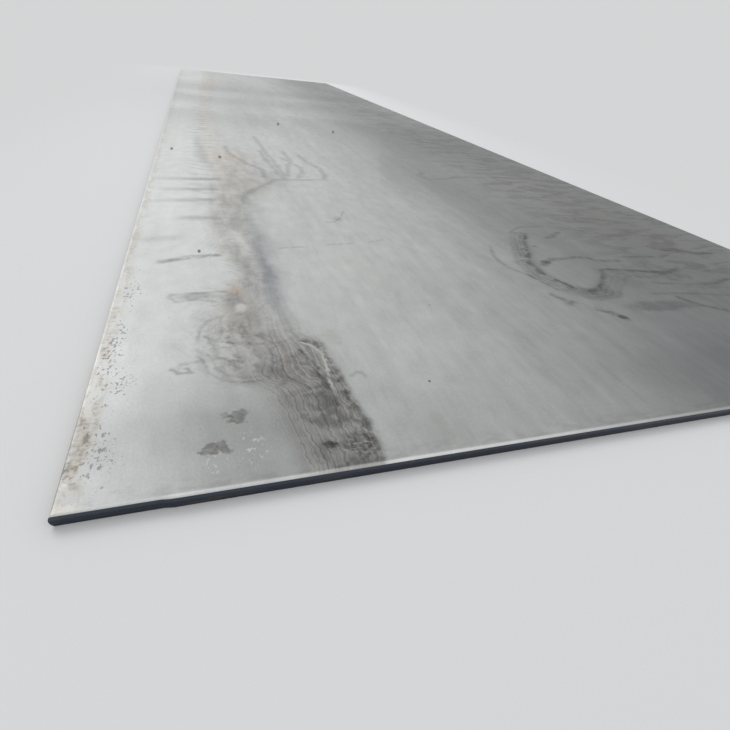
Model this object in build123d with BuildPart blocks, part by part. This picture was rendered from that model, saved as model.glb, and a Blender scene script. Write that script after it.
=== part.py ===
# Steel plate: one sheet of hot-rolled stock in a standard mill size, flat on its face.
#
# The rolls leave the two long edges barrel-shaped, and nothing trims them afterwards.
# A guillotine shear cuts both ends across. The near end was held on the shear's table, so
# its top corner is drawn down. The far end was on the side that drops, so there it is the
# bottom corner, and the two cuts are the same shape turned half a turn.
#
# Millimetres, +Z up. X runs across the width and Y along the length, the near end at -Y.
# The origin is at the middle of the bottom face, on the floor.
import os

from build123d import *

# The plate as it is ordered
length = 8000.0
width = 2200.0  # over the bulge of both mill edges
thickness = 20.0

# Mill edges, as the rolls spread them
edge_bulge = 4.0  # the middle of an edge stands this far outside the flat faces
edge_top_radius = 2.0
edge_bottom_radius = 3.0

# Sheared ends, from the drawn corner through the thickness
drawn_depth = 2.0  # the blade pulls the skin down this far before it bites
drawn_length = 6.0  # and the pull reaches this far in from the end
cut_height = 6.0  # bright band that the blade cut square
torn_lean = 1.0  # the torn band under it leans back this far by the opposite face

# Where the faces and the ends lie
half_width = width / 2
flat_half_width = half_width - edge_bulge
near_end = -length / 2
middle_height = thickness / 2
past_the_edges = 10.0  # the side view is cut through this far outside both mill edges


def mill_edge(side):
    """The barrel-shaped edge of the rolled section, on side -1 or 1, drawn bottom to top."""
    return ThreePointArc(
        (side * flat_half_width, 0),
        (side * half_width, middle_height),
        (side * flat_half_width, thickness),
    )


def sheared_end():
    """The near end's cut in the side view, drawn from the top face to the bottom face."""
    land_top = thickness - drawn_depth
    drawn_corner = EllipticalCenterArc(
        (near_end + drawn_length, land_top),
        x_radius=drawn_length,
        y_radius=drawn_depth,
        start_angle=90,
        arc_size=90,
    )
    cut_band = Line((near_end, land_top), (near_end, land_top - cut_height))
    torn_band = Line(cut_band @ 1, (near_end + torn_lean, 0))
    return drawn_corner, cut_band, torn_band


with BuildPart() as steel_plate:
    # The rolled section, the same from end to end
    with BuildSketch(Plane.XZ) as rolled_section:
        with BuildLine():
            left_edge = mill_edge(-1)
            right_edge = mill_edge(1)
            Line(left_edge @ 0, right_edge @ 0)
            Line(left_edge @ 1, right_edge @ 1)
        make_face()
        fillet(rolled_section.vertices().group_by(Axis.Y)[0], radius=edge_bottom_radius)
        fillet(rolled_section.vertices().group_by(Axis.Y)[-1], radius=edge_top_radius)
    extrude(amount=length / 2, both=True)

    # The side view between the two cuts, taken through the whole width
    with BuildSketch(Plane.YZ.offset(-half_width - past_the_edges)) as side_view:
        with BuildLine():
            near_cut = sheared_end()
            half_turn = Axis((0, middle_height, 0), (0, 0, 1))
            far_cut = [band.rotate(half_turn, 180) for band in near_cut]
            add(far_cut)
            Line(near_cut[0] @ 0, far_cut[-1] @ 1)
            Line(near_cut[-1] @ 1, far_cut[0] @ 0)
        make_face()
    extrude(amount=width + 2 * past_the_edges, mode=Mode.INTERSECT)

steel_plate.part.label = "steel_plate"

os.makedirs("parts", exist_ok=True)
export_step(steel_plate.part, "parts/steel_plate.step")
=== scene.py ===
import math

import bpy
import numpy as np
from mathutils import Matrix, Vector


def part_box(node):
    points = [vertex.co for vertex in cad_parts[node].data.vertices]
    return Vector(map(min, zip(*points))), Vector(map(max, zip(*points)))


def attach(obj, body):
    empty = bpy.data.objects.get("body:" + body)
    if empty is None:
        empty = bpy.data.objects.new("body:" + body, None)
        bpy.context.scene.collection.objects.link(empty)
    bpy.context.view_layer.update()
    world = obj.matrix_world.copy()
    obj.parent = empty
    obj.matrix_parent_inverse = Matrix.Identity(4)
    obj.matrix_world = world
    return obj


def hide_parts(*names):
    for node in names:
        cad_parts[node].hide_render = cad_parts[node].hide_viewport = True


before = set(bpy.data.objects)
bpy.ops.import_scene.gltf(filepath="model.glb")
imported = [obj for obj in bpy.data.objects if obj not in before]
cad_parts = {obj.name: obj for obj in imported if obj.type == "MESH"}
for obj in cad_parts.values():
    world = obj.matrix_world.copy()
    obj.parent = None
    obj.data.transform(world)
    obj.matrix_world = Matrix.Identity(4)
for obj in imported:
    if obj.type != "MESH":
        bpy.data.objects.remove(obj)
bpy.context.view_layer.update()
low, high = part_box("steel_plate")
width, length, thickness = high - low


# Top face: the upper skin of the sheet, blue-grey scale that grew in the heat of the rolls. Rain
# that stood on it dried in tide lines, and rust has begun along the long edge. The places of its
# marks are metres across and along from the sheet's near left corner.
class Wire:
    """An output of a node. A formula written with wires adds its Math nodes to their tree."""

    def __init__(self, net, socket):
        self.net, self.socket = net, socket

    def __getitem__(self, output):
        return Wire(self.net, self.socket.node.outputs[output])

    def maths(self, operation, *values):
        return self.net.add("ShaderNodeMath", {"operation": operation}, dict(enumerate(values)))

    def __add__(self, other):
        return self.maths("ADD", self, other)

    def __radd__(self, other):
        return self.maths("ADD", other, self)

    def __sub__(self, other):
        return self.maths("SUBTRACT", self, other)

    def __rsub__(self, other):
        return self.maths("SUBTRACT", other, self)

    def __mul__(self, other):
        return self.maths("MULTIPLY", self, other)

    def __rmul__(self, other):
        return self.maths("MULTIPLY", other, self)

    def __truediv__(self, other):
        return self.maths("DIVIDE", self, other)

    def __pow__(self, other):
        return self.maths("POWER", self, other)

    def __abs__(self):
        return self.maths("ABSOLUTE", self)

    def __gt__(self, other):
        return self.maths("GREATER_THAN", self, other)

    def __lt__(self, other):
        return self.maths("LESS_THAN", self, other)


class Net:
    """A node tree, and the one way in which a node is added to it."""

    def __init__(self, tree):
        self.tree = tree
        tree.nodes.clear()

    def add(self, kind, settings=None, sockets=None, output=0):
        """A node of this kind: its settings, then the value or wire of each socket, by its name
        or its number. The output is the one that formulas take the wire from."""
        node = self.tree.nodes.new(kind)
        for name, value in (settings or {}).items():
            if name == "curve":
                self.bend(node.mapping, value)
            else:
                setattr(node, name, value)
        for name, value in (sockets or {}).items():
            if isinstance(value, Wire):
                self.tree.links.new(value.socket, node.inputs[name])
            else:
                node.inputs[name].default_value = value
        return Wire(self, node.outputs[output]) if node.outputs else None

    def bend(self, mapping, places):
        """Lays a Float Curve through the places, the first and the last of which are its ends."""
        line = mapping.curves[0].points
        for place in places[1:-1]:
            line.new(*place)
        for point, place in zip(line, places):
            point.location = place
        mapping.update()

    def vector(self, operation, *vectors, output="Vector"):
        """Vector Math on wires and on plain triples."""
        sockets = dict(enumerate(vectors))
        return self.add("ShaderNodeVectorMath", {"operation": operation}, sockets, output)

    def scaled(self, vector, factor):
        """A vector or a colour, made longer or lighter by a factor."""
        return self.add("ShaderNodeVectorMath", {"operation": "SCALE"}, {0: vector, "Scale": factor})

    def noise(self, place, scale, detail=2.0, swirling=0.0):
        """Fractal noise round a half. Three scales stretch it across, along or upwards."""
        if isinstance(scale, tuple):
            place = self.vector("MULTIPLY", place, scale)
            scale = 1.0
        sockets = {"Vector": place, "Scale": scale, "Detail": detail, "Distortion": swirling}
        return self.add("ShaderNodeTexNoise", None, sockets)

    def wave(self, turns):
        """0 to 1 and back to 0 over each whole turn."""
        return turns.maths("COSINE", turns * math.tau) * -0.5 + 0.5

    def rise(self, value, start, end, bottom=0.0, top=1.0):
        """Bottom up to start and top from end on, with a soft step between them."""
        sockets = {0: value, 1: start, 2: end, 3: bottom, 4: top}
        return self.add("ShaderNodeMapRange", {"interpolation_type": "SMOOTHSTEP"}, sockets)

    def fall(self, value, start, end, bottom=0.0):
        """1 up to start and bottom from end on, with a soft step between them."""
        return self.rise(value, start, end, 1.0, bottom)

    def within(self, value, start, full_from, full_to, end):
        """1 in the middle of a stretch and 0 outside it, with a soft step at both sides."""
        return self.rise(value, start, full_from) * self.fall(value, full_to, end)

    def drawn(self, value, places, power=1.0):
        """A curve drawn over value, through places that start at 0. Its heights are
        0 to 1. A power under 1 keeps more of the curve's detail for the small values."""
        reach = places[-1][0]
        places = [((x / reach) ** power, y) for x, y in places]
        share = value / reach if power == 1 else (value / reach) ** power
        return self.add("ShaderNodeFloatCurve", {"curve": places}, {"Value": share})

    def varied(self, tone, *noises):
        """The tone, lighter and darker with each noise by up to half the share beside it."""
        for noise, share in noises:
            tone = tone * (1 - share / 2 + share * noise)
        return tone

    def relief(self, strength, depth, height):
        """Fine relief: this strong, and this many metres deep where the height is 1."""
        sockets = {"Strength": strength, "Distance": depth, "Height": height}
        return self.add("ShaderNodeBump", None, sockets)

    def blend(self, under, over, amount):
        """Two colours, mixed by amount."""
        sockets = {0: amount, 6: under, 7: over}
        return self.add("ShaderNodeMix", {"data_type": "RGBA"}, sockets, output=2)

    def pushed(self, place, *pushes):
        """The place, across and along, pushed about by noises of the given scales and reaches."""
        axes = self.add("ShaderNodeSeparateXYZ", None, {0: place})
        across, along = axes["X"], axes["Y"]
        for scale, reach in pushes:
            across = across + (self.noise(place, scale, 1) - 0.5) * (2 * reach)
            elsewhere = self.add("ShaderNodeMapping", None, {"Vector": place, "Location": (9, 5, 3)})
            along = along + (self.noise(elsewhere, scale, 1) - 0.5) * (2 * reach)
        return across, along, self.add("ShaderNodeCombineXYZ", None, {"X": across, "Y": along})

    def gap(self, place, route, rounding=0.004):
        """How far a place lies from a line that runs through the route's points."""
        nearest = None
        for start, end in zip(route, route[1:]):
            run = Vector((end[0] - start[0], end[1] - start[1], 0))
            reach = self.vector("SUBTRACT", place, (*start, 0))
            share = self.vector("DOT_PRODUCT", reach, run / run.length_squared, output="Value")
            share = self.add("ShaderNodeClamp", None, {"Value": share})
            beside = self.vector("DISTANCE", reach, self.scaled(run, share), output="Value")
            nearest = beside if nearest is None else beside.maths("SMOOTH_MIN", nearest, beside, rounding)
        return nearest

    def round(self, place, centre, size):
        """How far a place lies from a centre, as a share of an oval's size across and along."""
        reach = self.vector("SUBTRACT", place, (*centre, 0))
        reach = self.vector("DIVIDE", reach, (*size, 1))
        return self.vector("LENGTH", reach, output="Value")


def seen(red, green, blue):
    """A colour as a screen shows it, 0 to 255, as the light that it sends back."""
    parts = [part / 255 for part in (red, green, blue)]
    return (*(p / 12.92 if p <= 0.04045 else ((p + 0.055) / 1.055) ** 2.4 for p in parts), 1)


def finish(name):
    """A new material with an empty tree, and the places of the sheet from its near left corner."""
    material = bpy.data.materials.new(name)
    material.use_nodes = True
    net = Net(material.node_tree)
    place = net.add("ShaderNodeTexCoord", output="Object")
    place = net.add("ShaderNodeMapping", None, {"Vector": place, "Location": (width / 2, length / 2, 0)})
    return material, net, place


def coat(net, **sockets):
    """The surface's shader, with its sockets named in words."""
    sockets = {name.replace("_", " "): value for name, value in sockets.items()}
    shader = net.add("ShaderNodeBsdfPrincipled", None, sockets)
    net.add("ShaderNodeOutputMaterial", None, {"Surface": shader})


top_face, net, place = finish("mill_scale_top")
flat = net.add("ShaderNodeMapping", None, {"Vector": place, "Scale": (1, 1, 0)})
across, along, level_place = net.pushed(flat)
ragged_across, ragged_along, ragged = net.pushed(flat, (8, 0.016), (40, 0.006), (130, 0.003))
_, _, inked = net.pushed(flat, (12, 0.008), (75, 0.0035))
_, _, torn = net.pushed(flat, (38, 0.016), (95, 0.009), (240, 0.004))
near_first = 0.5  # the curves up the sheet are drawn finer near the cut end, by this power
patch_end = 1.08  # the soft rim of a patch ends this far out, for a size of 1


def patch(centre, size, edge=0.6, depth=1.0, place=ragged):
    """A patch round the centre, solid to the edge and gone just outside its size."""
    return net.rise(net.round(place, centre, size), edge, patch_end, depth, 0)


def torn_patch(centre, size, edge=0.6, depth=1.0):
    """A patch whose border is torn and crumbly."""
    return patch(centre, size, edge, depth, torn)


def darker(tone, depth, where):
    """The tone, with this share of its light gone where a mark is at its full strength."""
    return tone * (1 - depth * where)


def lighter(tone, gain, where):
    """The tone, with this share of its light added where a mark is at its full strength."""
    return tone * (1 + gain * where)


def moved(tone, other, share):
    """The tone, taken this share of the way to another tone."""
    return tone + (other - tone) * share


# Clean scale: brightest along the left margin and darker to the right, partly its own tone and partly
# painted sheen. The two curves are the share of light that it sends back across the sheet, and its
# change up the sheet, which is painted shade and sheen
tone_and_sheen_across = net.drawn(across, [
    (0, 0.56), (0.05, 0.6), (0.2, 0.6), (0.42, 0.53), (0.8, 0.435), (1.1, 0.31), (1.45, 0.177), (2.2, 0.145)])
curve_height = 1.24  # for a curve whose own top is 1
shade_and_sheen_along = curve_height * net.drawn(along, [
    (0, 0.72), (0.15, 0.76), (0.5, 0.83), (1.0, 0.91), (1.6, 0.96), (3.0, 0.9), (5.0, 0.86), (8.0, 0.85),
], near_first)
streaks = net.noise(place, (34, 0.5, 1), 3)
clouds = net.noise(place, (2.2, 1.2, 1), 3)
mottle = net.noise(flat, (24, 15, 1), 5)
speckle = net.noise(flat, (240, 150, 1), 2)
clean = net.varied(tone_and_sheen_across * shade_and_sheen_along, (streaks, 0.1), (clouds, 0.32), (mottle, 0.3), (speckle, 0.2))
# Painted shade over the near left corner, and a fainter painted shade over the near end to the right
shade_left = net.drawn(along, [
    (0, 0.29), (0.05, 0.31), (0.12, 0.36), (0.18, 0.27), (0.26, 0.14), (0.36, 0.06), (0.55, 0.02), (1, 0),
    (8, 0),
], near_first)
clean = darker(clean, shade_left, net.fall(across, 0.22, 0.5))
clean = darker(clean, 0.08, net.rise(across, 0.4, 1.0) * net.fall(along, 0.1, 0.5))
clean = lighter(clean, 0.46, net.rise(across, 0.5, 1.3) * net.rise(along, 1.2, 4.0))
past_the_step = across - 0.335 * along
clean = darker(clean, 0.08, net.rise(past_the_step, 0.425, 0.44) * net.within(along, 1.3, 1.7, 2.6, 3.4))

# It was wiped along the length, in broad and narrow strokes, and scuffed
narrow_wipes = net.noise(flat, (15, 1.9, 1), 4, 0.4) - 0.5
broad_wipes = net.noise(flat, (5.5, 0.9, 1), 3, 0.5) - 0.5
wipes = (0.65 * narrow_wipes + 0.75 * broad_wipes) * net.rise(across, 0.3, 0.7)
tone = lighter(clean, 0.38, wipes)
scuffs = net.noise(flat, (48, 9, 1), 4, 0.6)
scuffs = net.rise(scuffs, 0.5, 0.66) - 0.6 * net.fall(scuffs, 0.32, 0.46)
tone = darker(tone, 0.055, scuffs * net.rise(across, 0.3, 0.5))
# The darker patches on the near end, at 1.25, 0.56 and 0.25 across, are painted shade
tone = darker(tone, 0.18, patch((1.25, 0.1), (0.35, 0.2), 0.1))
tone = lighter(tone, 0.23, patch((1.65, 1.9), (0.4, 1.1), 0.2))
tone = lighter(tone, 0.34, net.rise(across, 0.9, 1.7) * net.rise(along, 3.0, 5.0))
tone = darker(tone, 0.13, patch((0.56, 0.06), (0.1, 0.12), 0.1))
tone = lighter(tone, 0.07, patch((0.62, 0.32), (0.22, 0.2), 0.1))
tone = darker(tone, 0.08, patch((0.25, 0.02), (0.15, 0.26), 0.1))

# The stain: a band of brown-grey silt down the left third, where the rain stood longest. Over is
# the place across it, 0 at its left border and 1 at its right
stain_left = net.drawn(ragged_along, [
    (0, 0.303), (0.05, 0.294), (0.1, 0.286), (0.15, 0.279), (0.195, 0.272), (0.215, 0.256), (0.228, 0.222),
    (0.25, 0.197), (0.32, 0.19), (0.38, 0.181), (0.45, 0.183), (0.52, 0.2), (0.58, 0.205), (0.64, 0.228),
    (0.7, 0.262), (0.76, 0.248), (0.83, 0.222), (0.93, 0.213), (1.13, 0.209), (1.31, 0.217), (1.45, 0.23),
    (1.64, 0.233), (1.87, 0.208), (2.5, 0.185), (5.5, 0.2), (8, 0.25),
], near_first)
stain_right = net.drawn(ragged_along, [
    (0, 0.442), (0.06, 0.446), (0.19, 0.434), (0.27, 0.427), (0.34, 0.418), (0.38, 0.4), (0.43, 0.393),
    (0.565, 0.39), (0.73, 0.405), (0.93, 0.41), (1.13, 0.4), (1.25, 0.4), (1.32, 0.41), (1.47, 0.46),
    (1.69, 0.57), (1.94, 0.534), (2.17, 0.5), (2.55, 0.38), (3.6, 0.35), (5.8, 0.45), (8, 0.5),
], near_first)
over = (ragged_across - stain_left) / (stain_right - stain_left)
silt = net.noise(flat, 30, 5, 0.9)
grit = net.noise(flat, 110, 3)
broad_silt = net.noise(flat, (8, 3.5, 1), 4)
lumps = net.rise(silt, 0.34, 0.66)
crumbs = net.rise(silt, 0.26, 0.6)
drifts = net.rise(net.noise(flat, (24, 6, 1), 5), 0.32, 0.68)
up_sheet = net.rise(along, 0.32, 0.5)
stain = net.rise(over, -0.12, 0.42 - 0.18 * up_sheet)
stain = stain * net.fall(over, 0.94 - 0.36 * up_sheet, 1.05 + 0.13 * up_sheet)
stain_depth = net.drawn(along, [
    (0, 0.54), (0.1, 0.52), (0.2, 0.51), (0.32, 0.38), (0.45, 0.29), (0.6, 0.38), (0.8, 0.38), (1.0, 0.4),
    (1.3, 0.34), (1.7, 0.25), (2.1, 0.16), (2.6, 0.11), (5, 0.12), (8, 0.1),
], near_first)
deeper_inside = 0.66 * net.rise(over, 0.02, 0.6 - 0.3 * up_sheet) - 0.16 * net.rise(over, 0.7, 0.95)
stain_depth = stain_depth * (0.4 + deeper_inside)
mottling = 0.15 + 0.8 * broad_silt + 0.6 * lumps * (1 - 0.75 * up_sheet) + 0.6 * drifts * up_sheet
tone = darker(tone, stain_depth, stain * mottling)
warmth = stain * (0.2 + 0.8 * broad_silt) * (1 - 0.65 * up_sheet * net.rise(over, 0.4, 0.75))

# The silt dried in fine lines like the grain of wood, drawn together up the sheet, then in curls.
# In lines the shares of light that all of them take away are added up, and most_taken ends it
waver = net.noise(flat, (15, 3.0, 1), 1.6)
lobe = patch((0.238, 0.325), (0.078, 0.115), 0.55)
in_stain = net.fall(over, 0.9, 1.05)
wood = net.wave(over * 14 + waver * 3.2) ** 1.5 * (0.1 + 1.5 * silt) * (1 - 0.85 * lobe)
wood = wood * net.rise(over, 0, 0.45) * in_stain
wood = wood * net.fall(along, 0.34, 0.52, 0.3) * net.fall(along, 0.5, 0.9)
fine_wood = net.wave(over * 22 + waver * 6) ** 1.2 * net.rise(over, -0.05, 0.3) * in_stain
finest_wood = net.wave(over * 35 + waver * 9) * net.rise(over, -0.05, 0.2) * in_stain
fine_wood = fine_wood * net.rise(broad_silt, 0.3, 0.55, 0.3, 1) + 0.7 * finest_wood
fine_wood = fine_wood * net.fall(along, 0.3, 0.42) * (1 - 0.8 * lobe)
curls = net.wave(net.noise(flat, (7.5, 4.6, 1), 4, 0.9) * 11) ** 2.4 * net.within(over, -0.5, 0.1, 0.5, 0.85)
curls = curls * net.rise(along, 0.24, 0.36) * net.fall(along, 0.6, 1.3, 0.25) * net.fall(along, 2.2, 3.2)
lines = 0.19 * wood + 0.22 * fine_wood + 0.16 * curls * (0.25 + 0.75 * lumps)
contours = net.wave(over * 7 + 1.5 * silt) ** 2 * lobe * net.fall(over, 0.45, 0.75)
tongue = patch((0.178, 0.57), (0.068, 0.024), 0.3)
knot = torn_patch((0.24, 0.29), (0.02, 0.026), 0.3)
round_the_spot = patch((0.262, 0.53), (0.05, 0.085), 0.3)
lines = lines + 0.2 * contours + 0.36 * tongue * (0.3 + silt)
lines = lines + (0.5 * knot + 0.16 * round_the_spot) * (0.2 + 1.2 * silt)
crumbly = torn_patch((0.24, 0.4), (0.07, 0.075), 0.4)
lines = lines + 0.15 * crumbly * net.rise(grit + 0.8 * silt, 0.7, 1.1)
smudge_left = net.fall(abs(over - 0.03), 0, 0.16) * net.within(along, 0.75, 1.0, 2.2, 2.9)
lines = lines + 0.26 * smudge_left * net.rise(net.noise(flat, (12, 2.2, 1), 4), 0.36, 0.6)


def ink(routes, reach, rounding=0.006):
    """Dried lines along the routes, 1 in the middle of each and 0 at its reach to either side."""
    nearest = None
    for route in routes:
        gap = net.gap(inked, route, rounding)
        nearest = gap if nearest is None else gap.maths("MINIMUM", gap, nearest)
    return net.fall(nearest, 0, reach)


# Separate drips and eddies left lines of their own, soft and broken
broken = net.rise(net.noise(flat, 38, 3), 0.3, 0.58, 0.3, 1)
drips = ink([
    [(0.24, 0.593), (0.19, 0.59), (0.12, 0.585), (0.115, 0.572), (0.128, 0.551), (0.171, 0.555),
     (0.215, 0.546)],
    [(0.225, 0.309), (0.182, 0.307), (0.147, 0.302), (0.132, 0.288), (0.142, 0.28)],
    [(0.177, 0.373), (0.181, 0.425), (0.198, 0.451), (0.22, 0.47)],
    [(0.132, 0.29), (0.143, 0.274), (0.163, 0.275), (0.158, 0.287)],
    [(0.19, 0.397), (0.215, 0.375), (0.254, 0.363), (0.3, 0.356)],
    [(0.404, 0.864), (0.486, 0.872)],
    [(0.555, 0.889), (0.597, 0.893), (0.64, 0.897)],
    [(0.7, 0.91), (0.75, 0.93)],
    [(0.444, 0.223), (0.455, 0.234), (0.464, 0.231), (0.472, 0.219)],
    [(0.6, 1.105), (0.63, 1.105), (0.662, 1.147), (0.692, 1.217)],
], reach=0.0085)
round_the_lobe = ink([
    [(0.178, 0.32), (0.19, 0.272), (0.213, 0.243), (0.25, 0.233), (0.285, 0.236)],
    [(0.19, 0.33), (0.203, 0.284), (0.222, 0.258), (0.252, 0.246), (0.285, 0.25)],
    [(0.132, 0.29), (0.143, 0.274), (0.163, 0.275), (0.158, 0.287), (0.145, 0.29)],
], reach=0.005)
deep_border = ink([
    [(0.382, 0.356), (0.407, 0.34), (0.416, 0.3), (0.42, 0.24), (0.424, 0.18), (0.429, 0.13), (0.436, 0.09),
     (0.438, 0.03)],
], reach=0.015, rounding=0.012)
beside_the_lens = ink([
    [(0.365, 0.32), (0.378, 0.29), (0.387, 0.252), (0.392, 0.218), (0.397, 0.185), (0.399, 0.14)],
], reach=0.006)
up_the_middle = ink([
    [(0.346, 1.25), (0.346, 1.083), (0.344, 0.94), (0.349, 0.773), (0.351, 0.621), (0.354, 0.496),
     (0.36, 0.404)],
], reach=0.02, rounding=0.02)
fans = ink([
    [(0.502, 2.27), (0.51, 2.05), (0.537, 1.78), (0.549, 1.665), (0.508, 1.66), (0.36, 1.44), (0.343, 1.3)],
    [(0.626, 2.3), (0.633, 2.07), (0.61, 1.95), (0.57, 1.75), (0.549, 1.665)],
    [(0.699, 2.215), (0.72, 2.03), (0.752, 1.92), (0.749, 1.766), (0.726, 1.69), (0.651, 1.68),
     (0.555, 1.665)],
    [(0.60, 2.1), (0.66, 1.92), (0.653, 1.8), (0.61, 1.7)],
    [(0.33, 2.35), (0.34, 2.15), (0.41, 1.95), (0.47, 1.83), (0.46, 1.7)],
    [(1.32, 1.93), (1.27, 1.85), (1.29, 1.78), (1.40, 1.80), (1.47, 1.85), (1.66, 1.87)],
    [(0.518, 2.7), (0.527, 2.31), (0.547, 1.94), (0.56, 1.69)],
], reach=0.024, rounding=0.03)
lines = lines + 0.24 * broken * drips + 0.15 * round_the_lobe
lines = lines + 0.36 * deep_border * net.rise(silt + 0.5 * grit, 0.62, 0.9)
lines = lines + broken * (0.42 * beside_the_lens + 0.15 * up_the_middle + 0.27 * fans)
lines = lines + 0.2 * torn_patch((0.652, 1.132), (0.022, 0.035), 0.3)

# Across to the right one deep curl of silt turns back on itself, line within line
swirl_gap = net.gap(inked, [
    (1.34, 0.979), (1.271, 0.889), (1.223, 0.798), (1.178, 0.709), (1.172, 0.634), (1.2, 0.54),
    (1.236, 0.507), (1.276, 0.517), (1.386, 0.613), (1.402, 0.65), (1.44, 0.656), (1.577, 0.625),
    (1.654, 0.615), (1.734, 0.648),
], 0.012)
outer_gap = net.gap(inked, [
    (1.29, 1.0), (1.219, 0.871), (1.166, 0.766), (1.138, 0.687), (1.128, 0.615), (1.148, 0.547),
    (1.179, 0.5), (1.233, 0.462), (1.32, 0.475), (1.40, 0.535), (1.46, 0.6), (1.58, 0.585), (1.70, 0.53),
], 0.02)
line_pitch = 0.034
between = net.fall(swirl_gap + outer_gap, 0.05, 0.085)
nested = net.wave((swirl_gap - outer_gap) / line_pitch + 2 * clouds + 1.6 * silt)
nested = between * (0.5 + 0.5 * nested) * (0.15 + 0.85 * crumbs)
core = net.fall(swirl_gap, 0, 0.012) * (0.6 + 0.4 * crumbs)
body = net.fall(swirl_gap, 0, 0.034) * net.fall(across, 1.36, 1.44) * crumbs
crumbled = torn_patch((1.2, 0.83), (0.08, 0.17), 0.2) * net.rise(grit + 0.6 * silt, 0.66, 0.92)
tail = net.fall(swirl_gap, 0, 0.011 + 0.008 * net.rise(across, 1.5, 1.7))
tail = tail * net.rise(across, 1.38, 1.43) * (0.4 + 0.6 * crumbs)
foot = between * net.fall(net.round(level_place, (1.29, 0.49), (0.1, 0.09)), 0.3, 1.2)
lines = lines + 0.4 * nested + 0.26 * core + 0.25 * body + 0.16 * crumbled + 0.22 * tail + 0.16 * foot
broad_strokes = ink([
    [(1.215, 0.7), (1.278, 0.742), (1.329, 0.747), (1.389, 0.761), (1.436, 0.747), (1.452, 0.726),
     (1.54, 0.719)],
    [(1.406, 0.947), (1.445, 0.958), (1.5, 1.001)],
    [(1.107, 0.5), (1.121, 0.475), (1.118, 0.446), (1.139, 0.455)],
    [(1.184, 0.406), (1.213, 0.386), (1.228, 0.352)],
    [(1.602, 0.357), (1.543, 0.399), (1.517, 0.445)],
    [(1.84, 0.8), (1.9, 0.82), (1.98, 0.77), (2.04, 0.773)],
    [(0.088, 0.776), (0.15, 0.803), (0.229, 0.817)],
], reach=0.019)
thin_strokes = ink([
    [(1.119, 0.863), (1.087, 0.794), (1.074, 0.73), (1.081, 0.683), (1.117, 0.63), (1.14, 0.53)],
    [(1.264, 0.989), (1.351, 1.056), (1.442, 1.069), (1.53, 1.07), (1.628, 1.025)],
    [(1.443, 0.477), (1.543, 0.475), (1.64, 0.46), (1.8, 0.42)],
    [(1.52, 0.545), (1.62, 0.53), (1.75, 0.52), (1.86, 0.55)],
    [(1.6, 0.76), (1.75, 0.74), (1.9, 0.8)],
], reach=0.012)
lines = lines + broken * (0.52 * broad_strokes + 0.32 * thin_strokes)
lees = torn_patch((1.41, 0.405), (0.15, 0.036), 0.5) + patch((1.222, 0.362), (0.02, 0.014), 0.5, 1.4)
lees = lees + patch((1.242, 0.722), (0.022, 0.018), 0.4, 1.2) + patch((1.293, 0.86), (0.012, 0.014), 0.4)
lees = lees + patch((1.45, 0.56), (0.09, 0.06), 0.2, 0.5)
lines = lines + 0.42 * lees * (0.3 + 1.1 * silt)
right_silt = net.rise(net.noise(flat, (6, 17, 1), 6, 0.9), 0.46, 0.58) * (0.3 + 0.7 * crumbs)
right_silt = right_silt * net.rise(across, 1.35, 1.75) * net.rise(along, 0.3, 0.6)
dark_cloud = patch((1.88, 1.08), (0.36, 0.5), 0.1)
lines = lines + 0.38 * right_silt + 0.12 * dark_cloud
most_taken = 0.8
tone = tone * (1 - lines.maths("MINIMUM", lines, most_taken))
warmth = warmth + 0.35 * right_silt + 0.4 * dark_cloud
tone = lighter(tone, 0.13, patch((0.3, 0.95), (0.04, 0.17), 0.2))
blue_shade = patch((0.353, 0.75), (0.034, 0.38), 0.1)
tone = darker(tone, 0.1, blue_shade)
cool = blue_shade + net.rise(across, 0.9, 1.6) * net.fall(along, 0.05, 0.6)

# Silt that ran out to the left margin in thin fingers, and bars of damp across the far half
fingers = net.wave(along * 10.5 + net.noise(flat, (2.6, 3, 1), 3) * 5) ** 2.5
fingers = fingers * net.within(across, 0.1, 0.19, 0.22, 0.34) * net.within(along, 1.0, 1.6, 4, 7)
long_fingers = ink([
    [(0.036, 1.613), (0.13, 1.625), (0.25, 1.642)],
    [(0.072, 1.464), (0.14, 1.475), (0.24, 1.48)],
    [(0.036, 1.31), (0.12, 1.325), (0.23, 1.339)],
    [(0.141, 1.13), (0.23, 1.132)],
    [(0.03, 0.941), (0.108, 0.949)],
], reach=0.04)
reach_in = net.rise(across, 0.02, 0.2, 0.4, 1)
tone = tone * (1 - 0.16 * fingers * (0.4 + silt) - 0.36 * long_fingers * reach_in * (0.3 + silt))
warmth = warmth + 0.15 * long_fingers
damp = net.drawn(along + 0.5 * clouds + 0.12 * mottle, [
    (0, 1), (2.6, 1), (3.2, 0.97), (3.8, 0.86), (4.2, 0.97), (4.8, 0.83), (5.3, 0.96), (5.7, 0.82),
    (6.4, 0.94), (7.0, 1.0), (9, 0.97)])
tone = tone * damp
brown_cloud = net.rise(net.noise(flat, (7, 3, 1), 4), 0.35, 0.62)
brown_cloud = brown_cloud * patch((0.36, 1.72), (0.26, 0.5), 0.1, 0.8)
smudges = torn_patch((0.432, 0.37), (0.03, 0.03), 0.1) + torn_patch((0.45, 0.335), (0.016, 0.012), 0.2)
tone = darker(tone, 0.14, brown_cloud)
tone = darker(tone, 0.13, smudges * (0.3 + silt))
warmth = warmth + 0.5 * brown_cloud + 0.7 * smudges

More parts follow.
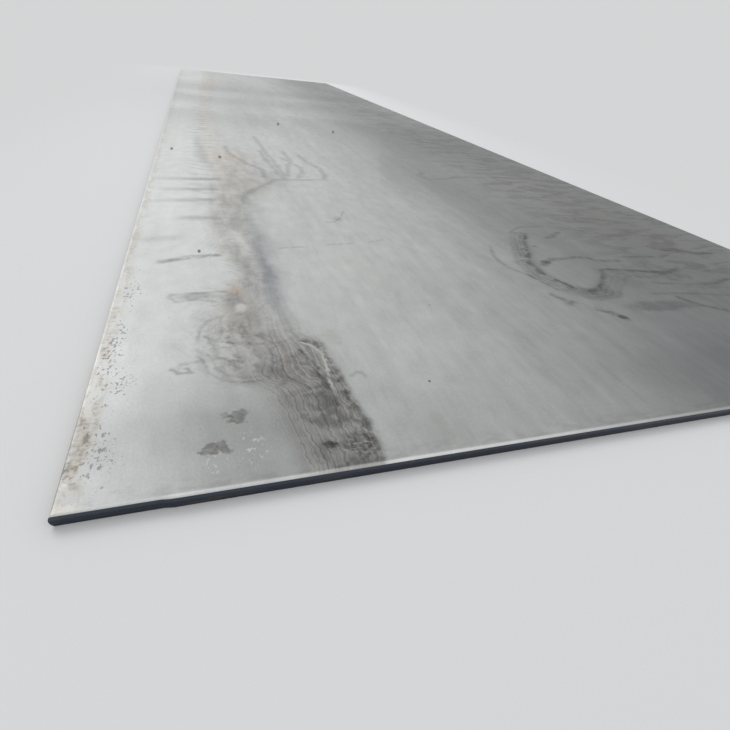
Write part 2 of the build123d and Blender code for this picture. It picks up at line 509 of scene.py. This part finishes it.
# Blots where drops stood, and the clean and rusted spots between them
blots = torn_patch((0.237, 0.143), (0.019, 0.021), 0.75) + torn_patch((0.209, 0.079), (0.014, 0.013), 0.7)
blots = blots + torn_patch((0.188, 0.079), (0.012, 0.013), 0.7)
blots = blots + torn_patch((0.217, 0.15), (0.012, 0.006), 0.4, 0.7)
blots = blots + torn_patch((0.366, 0.056), (0.018, 0.008), 0.5, 1.8)
blots = blots + patch((0.41, 0.04), (0.036, 0.036), 0.3, 1.2) * net.rise(grit, 0.46, 0.6)
tone = darker(tone, 0.42, blots.maths("MINIMUM", blots, 1.5) * (0.1 + 1.8 * grit))
warmth = warmth + 0.5 * blots
flecks = net.rise(net.noise(flat, (120, 190, 1), 4), 0.5, 0.66)
flecks = flecks * patch((0.41, 0.042), (0.038, 0.036), 0.3)
tone = moved(tone, clean * 0.8, 0.55 * flecks)


def dot(centre, size, lean=0.0):
    """A small dark spot that leans over by this share of its length along the sheet."""
    leaned = net.add("ShaderNodeCombineXYZ", None, {"X": across - lean * (along - centre[1]), "Y": along})
    return patch(centre, size, place=leaned)


dots = dot((0.183, 0.846), (0.005, 0.014)) + dot((0.067, 2.207), (0.008, 0.04))
dots = dots + dot((0.29, 2.066), (0.008, 0.04)) + dot((0.745, 3.266), (0.011, 0.085), 0.16)
dots = dots + dot((1.108, 3.077), (0.011, 0.08), 0.25) + dot((0.589, 0.182), (0.003, 0.004))
dots = dots + 0.4 * dot((0.719, 0.476), (0.004, 0.005))
tone = darker(tone, 0.75, dots)
washed_gap = net.gap(inked, [
    (0.374, 0.347), (0.392, 0.334), (0.405, 0.311), (0.408, 0.28), (0.406, 0.246), (0.405, 0.21),
    (0.402, 0.17),
], 0.01)
washed_spot = patch((0.267, 0.507), (0.0165, 0.026), 0.4)
washed = 0.7 * net.fall(washed_gap, 0.0008, 0.0042) * broken + 0.62 * washed_spot
white_specks = patch((0.247, 0.068), (0.03, 0.045), 0.3) + patch((0.2, 0.043), (0.02, 0.024), 0.3)
white_specks = net.rise(net.noise(flat, (190, 110, 1), 1), 0.58, 0.68) * white_specks
tone = moved(tone, clean * 1.08, washed) + clean * 0.5 * white_specks
rust = patch((0.267, 0.596), (0.027, 0.05), 0.2, 1.15) + patch((0.33, 0.3), (0.012, 0.12), 0.3, 0.4)
rust = rust + patch((0.32, 2.07), (0.14, 0.16), 0.2, 0.6) + patch((0.39, 6.0), (0.14, 0.7), 0.2, 0.4)
rust = rust * (0.2 + silt) * 0.5

# Left margin: pits and specks of dirt, crowded near the corner, over a creamy line of first rust
margin = net.within(across, 0.004, 0.014, 0.04, 0.11) * net.drawn(along, [
    (0, 0.8), (0.1, 1), (0.5, 1), (0.75, 0.75), (1.1, 0.5), (2.5, 0.35), (8, 0.3)], near_first)
crowds = patch((0.03, 0.38), (0.03, 0.13), 0.1, 0.7) + patch((0.055, 0.26), (0.04, 0.04), 0.1, 0.8)
crowds = crowds + patch((0.045, 0.1), (0.04, 0.07), 0.1, 0.65) + patch((0.04, 0.62), (0.03, 0.09), 0.1, 0.6)
crowds = crowds.maths("MINIMUM", crowds, 1)
pits = net.noise(flat, (150, 90, 1), 2) + 0.22 * margin * net.noise(flat, (11, 5, 1), 2) + 0.17 * crowds
pits = net.rise(pits, 0.74, 0.82) * margin
fine_pits = net.rise(net.noise(flat, (330, 210, 1), 1) + 0.15 * crowds, 0.72, 0.8)
fine_pits = fine_pits * net.fall(across, 0.2, 0.5, 0.12) * net.fall(along, 1.2, 2.2)
tone = darker(tone, 0.5, pits)
tone = darker(tone, 0.45, fine_pits)
crust_field = net.noise(flat, (42, 16, 1), 6, 0.5)
crust = net.rise(crust_field, 0.49, 0.56) + 0.7 * net.fall(abs(crust_field - 0.5), 0, 0.03)
crust = crust * net.within(across, 0.001, 0.008, 0.016, 0.04) * net.drawn(along, [
    (0, 0.8), (0.06, 1), (0.2, 1), (0.3, 0.6), (0.6, 0.5), (1.3, 0.45), (3, 0.3), (8, 0.3)], near_first)
crust = crust + torn_patch((0.018, 0.125), (0.015, 0.075), 0.3, 0.9)
crust = crust + torn_patch((0.012, 0.07), (0.01, 0.02), 0.3)
tone = darker(tone, 0.42, crust * (0.25 + 0.75 * net.rise(grit, 0.36, 0.6)))
# A painted highlight along the very left edge and on two spots by the near corner, where the rounded edge
# catches the light
rim_highlight = net.fall(across, 0.003, 0.009) + patch((0.014, 0.01), (0.03, 0.016), 0.2)
rim_highlight = rim_highlight + patch((0.006, 0.056), (0.007, 0.016), 0.3)
tone = lighter(tone, 0.2, rim_highlight)

# The shear drew the near corner down and left it bare; it is painted much brighter as a highlight, where the
# drawn corner catches the light
arris_highlight = net.fall(along, 0.0035, 0.0085)
tone = moved(tone, clean * 1.8, 0.85 * arris_highlight * (1 - 0.5 * stain))
worn = net.fall(along, 0.01, 0.045) * net.rise(net.noise(flat, (26, 60, 1), 3), 0.46, 0.6)
tone = darker(tone, 0.12, worn * (1 - arris_highlight))

# Tints on the tone: brown in the silt, blue in the shade, cream to orange where it rusts, and cream in the
# painted highlight along the left rim
scale_tint, silt_tint = (0.975, 1.0, 0.98, 1), (1.037, 0.992, 0.928, 1)
shade_tint, crust_tint = (0.985, 0.99, 1.03, 1), (1.08, 0.98, 0.83, 1)
rust_tint, rim_tint = (1.24, 0.91, 0.68, 1), (1.04, 1.0, 0.93, 1)
cream = net.fall(across, 0.01, 0.03) * net.fall(along, 0.3, 1.2, 0.3)
tint = net.blend(scale_tint, silt_tint, warmth + 1.6 * wipes)
tint = net.blend(tint, shade_tint, cool)
tint = net.blend(tint, crust_tint, crust)
tint = net.blend(tint, rust_tint, rust)
tint = net.blend(tint, rim_tint, 0.5 * rim_highlight + 0.5 * cream)
colour = net.scaled(tint, tone)
stained = stain * (0.4 + 0.6 * silt)
roughness = 0.4 + 0.16 * stained + 0.1 * (clouds - 0.5)
scale_relief, scale_depth = 0.3, 0.0005
relief = net.relief(scale_relief, scale_depth, speckle * 0.7 + streaks * 0.3)
coat(net, Base_Color=colour, Metallic=0.35 - 0.2 * stained, Roughness=roughness, Normal=relief)


# Underside: the same scale, duller and damper than the top. It lay on timber bearers, which left
# bars across it, and what ran round the edges dried in tide lines and began to rust
underside, net, place = finish("mill_scale_underside")
flat = net.add("ShaderNodeMapping", None, {"Vector": place, "Scale": (1, 1, 0)})
ragged_across, ragged_along, _ = net.pushed(flat, (5, 0.05), (30, 0.012))
streaks = net.noise(flat, (30, 0.5, 1), 3)
clouds = net.noise(flat, (2.0, 1.1, 1), 4)
mottle = net.noise(flat, (22, 14, 1), 5)
speckle = net.noise(flat, (240, 150, 1), 2)
dull_scale = 0.27
tone = net.varied(dull_scale, (streaks, 0.2), (clouds, 0.48), (mottle, 0.36), (speckle, 0.2))
bearer_pitch, bearer_half_width, bearer_rim = 2.0, 0.05, 0.062
pitches = ragged_along / bearer_pitch
from_bearer = abs(pitches.maths("FRACT", pitches) - 0.5) * bearer_pitch
bearers = net.fall(from_bearer, bearer_half_width, bearer_half_width + 0.02)
bearers = bearers * net.rise(mottle, 0.3, 0.6, 0.4, 1)
bearer_rims = net.fall(abs(from_bearer - bearer_rim), 0, 0.014) * net.rise(mottle, 0.35, 0.6, 0.2, 1)
tide_field = net.noise(flat, (3.0, 2.0, 1), 4, 0.8)
tides = net.wave(tide_field * 8) ** 5 * net.rise(net.noise(flat, 1.3, 2), 0.4, 0.6)
pools = net.rise(tide_field, 0.5, 0.62)
from_edge = ragged_across.maths("MINIMUM", ragged_across, width - ragged_across)
rust = net.fall(from_edge, 0.015, 0.14) * net.rise(net.noise(flat, (14, 5, 1), 4), 0.4, 0.62)
pits = net.rise(net.noise(flat, (140, 90, 1), 2), 0.68, 0.74)
tone = lighter(darker(darker(tone, 0.24, tides), 0.1, pools), 0.22, bearers)
tone = darker(darker(darker(tone, 0.3, bearer_rims), 0.45, pits), 0.25, rust)
damp_tint, tide_tint, red_tint = (0.98, 1.0, 1.02, 1), (1.1, 0.98, 0.84, 1), (1.5, 0.86, 0.56, 1)
tint = net.blend(damp_tint, tide_tint, 0.5 * tides + 0.6 * bearers + 0.3 * pools)
tint = net.blend(tint, red_tint, 0.7 * rust + 0.35 * bearer_rims)
colour = net.scaled(tint, tone)
relief = net.relief(scale_relief, scale_depth, speckle * 0.7 + streaks * 0.3)
coat(net, Base_Color=colour, Metallic=0.3, Roughness=0.46 + 0.2 * rust, Normal=relief)


# Long edges: the barrel-shaped edges of the same piece, as the rolls spread them. Nothing trimmed
# them, so they have scale of their own, drawn out in folds. It has rusted and begun to flake, and
# the line where it meets the top face is worn bare and painted bright as a highlight
dark_scale, brown_rust, bright_rust = seen(92, 90, 90), seen(126, 92, 70), seen(150, 104, 72)
hollow_scale, bare_steel_and_highlight = seen(58, 54, 52), seen(206, 202, 190)
rolled_edge, net, place = finish("rolled_edge")
height = net.add("ShaderNodeSeparateXYZ", None, {0: place})["Z"]
clouds = net.noise(place, (5, 5, 60), 4)
flakes = net.noise(place, (60, 60, 260), 4)
folds = net.noise(place, (1, 1.5, 420), 2)
colour = net.blend(dark_scale, brown_rust, net.rise(clouds, 0.42, 0.62))
colour = net.blend(colour, bright_rust, net.rise(flakes, 0.56, 0.7) * net.rise(clouds, 0.3, 0.5))
hollows = 0.6 * net.fall(flakes, 0.34, 0.46) + 0.4 * net.fall(folds, 0.34, 0.5)
colour = net.blend(colour, hollow_scale, hollows)
# The top line: worn bare, and painted brighter as a highlight where the edge catches the light
worn_and_highlit_top_line = net.rise(height, thickness - 0.0032, thickness - 0.0008) * net.rise(flakes, 0.3, 0.6)
colour = net.blend(colour, bare_steel_and_highlight, 0.8 * worn_and_highlit_top_line)
relief = net.relief(0.6, 0.0006, flakes + 0.5 * folds)
coat(net, Base_Color=colour, Metallic=0.2, Roughness=0.62, Normal=relief)


# Ends: bare steel where the shear went through, dark in its own oily tone and darker still with painted
# shade. Down from the drawn corner, which is painted bright as a highlight, come the band that the
# blade cut, smooth with upright scratches, and the darker, grainy band that tore
cut_steel_shaded, torn_steel_shaded, stale_steel = seen(64, 70, 82), seen(50, 55, 66), seen(84, 74, 68)
drawn_steel_highlight, foot_shadow_steel = seen(224, 227, 228), seen(24, 26, 32)
sheared_end, net, place = finish("sheared_end")
axes = net.add("ShaderNodeSeparateXYZ", None, {0: place})
at_far_end = axes["Y"] > length / 2
depth = (thickness - axes["Z"]) * (1 - at_far_end) + axes["Z"] * at_far_end
scratches = net.noise(place, (700, 1, 22), 3)
clouds = net.noise(place, (9, 9, 70), 4)
grains = net.noise(place, (420, 420, 420), 3)
tear = net.rise(depth + 0.003 * (net.noise(place, (45, 1, 1), 3) - 0.5), 0.0075, 0.0087)
colour = net.blend(cut_steel_shaded, torn_steel_shaded, tear)
roughened = 1 + 0.5 * (scratches - 0.5) + 0.7 * tear * (grains - 0.5)
colour = net.scaled(colour, net.varied(1, (clouds, 0.56)) * roughened)
colour = net.blend(colour, stale_steel, 0.5 * net.rise(clouds, 0.56, 0.72))
# The drawn corner is painted near white, as a highlight where it catches the light
colour = net.blend(colour, drawn_steel_highlight, net.fall(depth, 0.0006, 0.0019))
# A painted shadow over the last two millimetres of each end on its torn side: the bottom of the near end and
# the top of the far end
foot = net.rise(depth, thickness - 0.002, thickness - 0.0004)
colour = net.blend(colour, foot_shadow_steel, 0.7 * foot)
relief = net.relief(0.5, 0.0004, scratches + tear * grains)
coat(net, Base_Color=colour, Metallic=0.45, Roughness=0.42 + 0.15 * tear, Normal=relief)


# The sheet: one piece of steel, rolled to its thickness, cut to its length and laid flat. Its
# outline changes with height, so the mesh is a block of thin level slices, each drawn out to the
# width and the length that the real edges and cuts have at that height
half_width, half_length = width / 2, length / 2
plate_sizes = {
    "Width": width,
    "Length": length,
    "Thickness": thickness,
    "Edge Radius": 0.0145,
    "Edge Top Radius": 0.002,
    "Edge Bottom Radius": 0.003,
    "Drawn Depth": 0.002,
    "Drawn Length": 0.006,
    "Cut Height": 0.006,
    "Torn Lean": 0.001,
    "Second Bite": 0.0018,
    "Edge Wander": 0.0012,
    "Thin Spots": 0.0004,
}
plate_counts = {"Rows Across": 118, "Rows Along": 300, "Levels": 25}
crowd_left, crowd_near = 1.35, 1.25  # powers that set the rows closer towards the near left corner
bite_place, bite_ramp = 0.138, 0.004  # where the shear bit again, and the step on both sides of it
bite_reach = 1 / 60  # share of the length over which the rows take up that step
wander_pitch, other_edge = 3, 40  # waves to the metre, and how far off the right edge's waves start
level_facing = 0.45  # a face whose normal rises more than this belongs to the top or the underside
sharp_bend = math.radians(38)

tree = bpy.data.node_groups.new("rolled_and_sheared_plate", "GeometryNodeTree")
net = Net(tree)
tree.interface.new_socket("Geometry", in_out="OUTPUT", socket_type="NodeSocketGeometry")
tree.interface.new_socket("Geometry", in_out="INPUT", socket_type="NodeSocketGeometry")
inputs = {}
for name in plate_sizes:
    inputs[name] = tree.interface.new_socket(name, in_out="INPUT", socket_type="NodeSocketFloat")
for name in plate_counts:
    inputs[name] = tree.interface.new_socket(name, in_out="INPUT", socket_type="NodeSocketInt")
given = net.add("NodeGroupInput")

block = net.add("GeometryNodeMeshCube", None, {
    "Size": (1, 1, 1),
    "Vertices X": given["Rows Across"],
    "Vertices Y": given["Rows Along"],
    "Vertices Z": given["Levels"],
})
at = net.add("ShaderNodeSeparateXYZ", None, {0: net.add("GeometryNodeInputPosition")})
share_across = (at["X"] + 0.5) ** crowd_left
share_along = (at["Y"] + 0.5) ** crowd_near
middle = given["Thickness"] / 2
height = middle * (1 - at["Z"].maths("COSINE", (at["Z"] + 0.5) * math.pi))


def larger(a, b):
    return given.maths("MAXIMUM", a, b)


def circle(radius, off):
    """Half the chord of a circle at this distance from its centre."""
    return given.maths("SQRT", larger(radius * radius - off * off, 0))


def corner_half_width(radius, off_middle):
    """Half the width at a rounded corner, whose centre is this far above or below the middle."""
    centre = circle(given["Edge Radius"] - radius, middle - radius)
    return barrel_centre + centre + circle(radius, off_middle)


barrel_centre = given["Width"] / 2 - given["Edge Radius"]
barrel = barrel_centre + circle(given["Edge Radius"], height - middle)
top_radius, bottom_radius = given["Edge Top Radius"], given["Edge Bottom Radius"]
top_corner = corner_half_width(top_radius, height - (given["Thickness"] - top_radius))
bottom_corner = corner_half_width(bottom_radius, height - bottom_radius)
turn_above = (middle - top_radius) / (given["Edge Radius"] - top_radius) * given["Edge Radius"]
turn_below = (middle - bottom_radius) / (given["Edge Radius"] - bottom_radius) * given["Edge Radius"]
above, below = (height - middle) > turn_above, (middle - height) > turn_below
half = barrel * (1 - above) * (1 - below) + top_corner * above + bottom_corner * below


def set_back(depth):
    """How far the shear left the end behind its foremost line, at this depth from the drawn face."""
    drawn_depth, land = given["Drawn Depth"], given["Drawn Depth"] + given["Cut Height"]
    drawn = 1 - larger(depth / drawn_depth, 0)
    pulled = given["Drawn Length"] * (1 - circle(1, larger(drawn, 0)))
    torn = larger(depth - land, 0) / (given["Thickness"] - land)
    return pulled + given["Torn Lean"] * torn


near = set_back(given["Thickness"] - height) - given["Length"] / 2
far = given["Length"] / 2 - set_back(height)
x = (share_across * 2 - 1) * half
waves = share_along * given["Length"] * wander_pitch + (x > 0) * other_edge
wander = net.add("ShaderNodeTexNoise", {"noise_dimensions": "1D"}, {"W": waves, "Detail": 3.0})
x = x * (1 - given["Edge Wander"] * wander / half)
first_bite = net.fall(x + given["Width"] / 2, bite_place - bite_ramp, bite_place + bite_ramp)
first_rows = larger(1 - share_along / bite_reach, 0)
y = near + share_along * (far - near) + given["Second Bite"] * first_bite * first_rows
thin = net.noise(net.add("ShaderNodeCombineXYZ", None, {"X": x, "Y": y}), (1.6, 1.1, 1), 1)
z = height * (1 - given["Thin Spots"] / given["Thickness"] * thin)
spot = net.add("ShaderNodeCombineXYZ", None, {"X": x, "Y": y, "Z": z})
shaped = net.add("GeometryNodeSetPosition", None, {"Geometry": block, "Position": spot})
sockets = {"Geometry": shaped, "Shade Smooth": True}
rounded = net.add("GeometryNodeSetShadeSmooth", {"domain": "FACE"}, sockets)
bend = net.add("GeometryNodeInputMeshEdgeAngle", output="Unsigned Angle")
sockets = {"Geometry": rounded, "Selection": bend > sharp_bend, "Shade Smooth": False}
dressed = net.add("GeometryNodeSetShadeSmooth", {"domain": "EDGE"}, sockets)

facing = net.add("ShaderNodeSeparateXYZ", None, {0: net.add("GeometryNodeInputNormal")})
on_top, on_floor = facing["Z"] > level_facing, facing["Z"] < -level_facing
on_side = abs(facing["X"]) > abs(facing["Y"])
for material, faces in (
    (sheared_end, True),
    (rolled_edge, on_side),
    (top_face, on_top),
    (underside, on_floor),
):
    sockets = {"Geometry": dressed, "Selection": faces, "Material": material}
    dressed = net.add("GeometryNodeSetMaterial", None, sockets)
net.add("NodeGroupOutput", None, {"Geometry": dressed})

plate = bpy.data.objects.new("plate", bpy.data.meshes.new("plate"))
bpy.context.scene.collection.objects.link(plate)
mill = plate.modifiers.new("mill", "NODES")
mill.node_group = tree
for name, value in {**plate_sizes, **plate_counts}.items():
    mill[inputs[name].identifier] = value
depsgraph = bpy.context.evaluated_depsgraph_get()
rolled = bpy.data.meshes.new_from_object(plate.evaluated_get(depsgraph), depsgraph=depsgraph)
plate.modifiers.clear()
plate.data = rolled

# Each side of the sheet has its own strip of one square map, so that its finish can be kept as a
# picture. The near part of the top face, where the marks are finest, gets the most room. Scales are
# pixels of the map to the metre, and the corners and sizes of the strips are its pixels
map_pixels = 1024
split_along = 3.2
near_scale, far_scale, under_scale = 246, 164, 94
near_corner, far_corner, under_corner = (6, 6), (560, 6), (6, 812)
side_corners, side_size = ((936, 6), (954, 6)), (10, 790)
end_corners, end_size = ((972, 6), (992, 6)), (12, 790)


def listed(items, field, numbers_each=1, kind=np.float32):
    """One field of all the mesh's items, in a row for each item."""
    values = np.empty(len(items) * numbers_each, dtype=kind)
    items.foreach_get(field, values)
    return values.reshape(-1, numbers_each) if numbers_each > 1 else values


corners_each = listed(rolled.polygons, "loop_total", kind=np.int32)
finishes = np.repeat(listed(rolled.polygons, "material_index", kind=np.int32), corners_each)
middles = np.repeat(listed(rolled.polygons, "center", 3), corners_each, axis=0)
spots = listed(rolled.vertices, "co", 3)[listed(rolled.loops, "vertex_index", kind=np.int32)]
spots = spots + (half_width, half_length, 0)
is_of = {material.name: finishes == index for index, material in enumerate(rolled.materials) if material}
on_near = middles[:, 1] < split_along - half_length
left_side, near_side = middles[:, 0] < 0, middles[:, 1] < 0
strips = (
    (is_of["mill_scale_top"] & on_near, near_corner, (0, 1), (near_scale, near_scale), (0, 0)),
    (is_of["mill_scale_top"] & ~on_near, far_corner, (0, 1), (far_scale, far_scale), (0, split_along)),
    (is_of["mill_scale_underside"], under_corner, (1, 0), (under_scale, under_scale), (0, 0)),
    (is_of["rolled_edge"] & left_side, side_corners[0], (2, 1), None, (0, 0)),
    (is_of["rolled_edge"] & ~left_side, side_corners[1], (2, 1), None, (0, 0)),
    (is_of["sheared_end"] & near_side, end_corners[0], (2, 0), None, (0, 0)),
    (is_of["sheared_end"] & ~near_side, end_corners[1], (2, 0), None, (0, 0)),
)
full = np.array((width, length, thickness))
places = np.zeros((len(spots), 2))
for chosen, corner, axes, scale, start in strips:
    strip = end_size if axes == (2, 0) else side_size
    scale = scale or (strip[0] / full[axes[0]], strip[1] / full[axes[1]])
    flat_spots = spots[chosen][:, axes] - start
    places[chosen] = (flat_spots * scale + corner) / map_pixels
rolled.uv_layers.new(name="OFBake").data.foreach_set("uv", places.astype(np.float32).ravel())

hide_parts("steel_plate")
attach(plate, "root")


# Floor: a plain pale studio floor that the sheet lies on. It is matt paint close to the sheet, where
# it takes the shadow, and fades into the pale of the room's wall farther out. It lets through the
# light that meets it from below or at no distance, so the underside can be looked at and kept
floor_reach = 60
fade_start, fade_end = 0.12, 0.9  # outside the sheet
touching = 0.0005  # a shorter ray starts on the sheet's own underside
near_paint, far_left_paint = (0.745, 0.745, 0.745, 1), (0.64, 0.64, 0.64, 1)
floor_mesh = bpy.data.meshes.new("floor")
corners = [(x * floor_reach, y * floor_reach, 0) for x, y in ((-1, -1), (1, -1), (1, 1), (-1, 1))]
floor_mesh.from_pydata(corners, [], [(0, 1, 2, 3)])
floor = bpy.data.objects.new("floor", floor_mesh)
bpy.context.scene.collection.objects.link(floor)
backdrop = (0.66, 0.665, 0.67, 1)


def looked_along(ray):
    """1 for the rays along which an eye looks, straight or by way of metal and glass."""
    return ray + ray["Is Glossy Ray"] + ray["Is Transmission Ray"]


pale = bpy.data.materials.new("pale_floor")
pale.use_nodes = True
net = Net(pale.node_tree)
axes = net.add("ShaderNodeSeparateXYZ", None, {0: net.add("ShaderNodeTexCoord", output="Object")})
by_lamp = net.rise(axes["Y"], -3, 2) * net.fall(axes["X"], -1.1, 0)
grey = net.blend(near_paint, far_left_paint, by_lamp)
matt = net.add("ShaderNodeBsdfDiffuse", None, {"Color": grey})
even = net.add("ShaderNodeEmission", None, {"Color": backdrop})
clear = net.add("ShaderNodeBsdfTransparent")
outside = net.vector("ABSOLUTE", net.add("ShaderNodeTexCoord", output="Object"))
outside = net.vector("SUBTRACT", outside, (half_width, half_length, 0))
outside = net.vector("LENGTH", net.vector("MAXIMUM", outside, (0, 0, 0)), output="Value")
ray = net.add("ShaderNodeLightPath", output="Is Camera Ray")
away = net.rise(outside, fade_start, fade_end) * looked_along(ray)
shown = net.add("ShaderNodeMixShader", None, {0: away, 1: matt, 2: even})
from_below = net.add("ShaderNodeNewGeometry", output="Backfacing")
let_through = from_below.maths("MAXIMUM", from_below, ray["Ray Length"] < touching)
shown = net.add("ShaderNodeMixShader", None, {0: let_through, 1: shown, 2: clear})
net.add("ShaderNodeOutputMaterial", None, {"Surface": shown})
floor_mesh.materials.append(pale)


# Light: even light from a pale room all round, with a plain wall of nearly the same pale behind the
# sheet, and one wide soft lamp that hangs over its far left side
room_light = (0.72, 0.73, 0.74, 1)
world = bpy.data.worlds.new("pale_room")
world.use_nodes = True
bpy.context.scene.world = world
net = Net(world.node_tree)
air = net.add("ShaderNodeBackground", None, {"Color": room_light})
wall = net.add("ShaderNodeBackground", None, {"Color": backdrop})
ray = net.add("ShaderNodeLightPath", output="Is Camera Ray")
shown = net.add("ShaderNodeMixShader", None, {0: looked_along(ray), 1: air, 2: wall})
net.add("ShaderNodeOutputWorld", None, {"Surface": shown})

lamp_place, lamp_aim = Vector((-8, 8, 12)), Vector((-0.5, 0, 0))
lamp_side, lamp_power = 9, 1000
lamp_light = bpy.data.lights.new("left_lamp", "AREA")
lamp_light.shape = "RECTANGLE"
lamp_light.size = lamp_light.size_y = lamp_side
lamp_light.energy = lamp_power
lamp = bpy.data.objects.new("left_lamp", lamp_light)
bpy.context.scene.collection.objects.link(lamp)
lamp.location = lamp_place
lamp.rotation_euler = (lamp_aim - lamp_place).to_track_quat("-Z", "Y").to_euler()


# Camera: held by hand close to the near left corner, about half a metre over the sheet, and looking
# up its length through a wide lens. It leans to one side, so the picture is rolled
camera_place = Vector((-0.8801, -4.4236, 0.519))
camera_aim = Vector((-0.6184, -3.7489, thickness))
camera_roll = math.radians(7.27)
lens_mm, film_mm = 22.3, 36
camera = bpy.data.objects.new("camera", bpy.data.cameras.new("camera"))
camera.data.lens, camera.data.sensor_width = lens_mm, film_mm
camera.data.clip_start, camera.data.clip_end = 0.02, 200
view = (camera_aim - camera_place).normalized()
level_right = view.cross(Vector((0, 0, 1))).normalized()
level_up = level_right.cross(view)
right = level_right * math.cos(camera_roll) + level_up * math.sin(camera_roll)
up = level_up * math.cos(camera_roll) - level_right * math.sin(camera_roll)
camera.matrix_world = Matrix.Translation(camera_place) @ Matrix((right, up, -view)).transposed().to_4x4()
bpy.context.scene.collection.objects.link(camera)
bpy.context.scene.camera = camera

bpy.context.scene.view_settings.view_transform = "Standard"
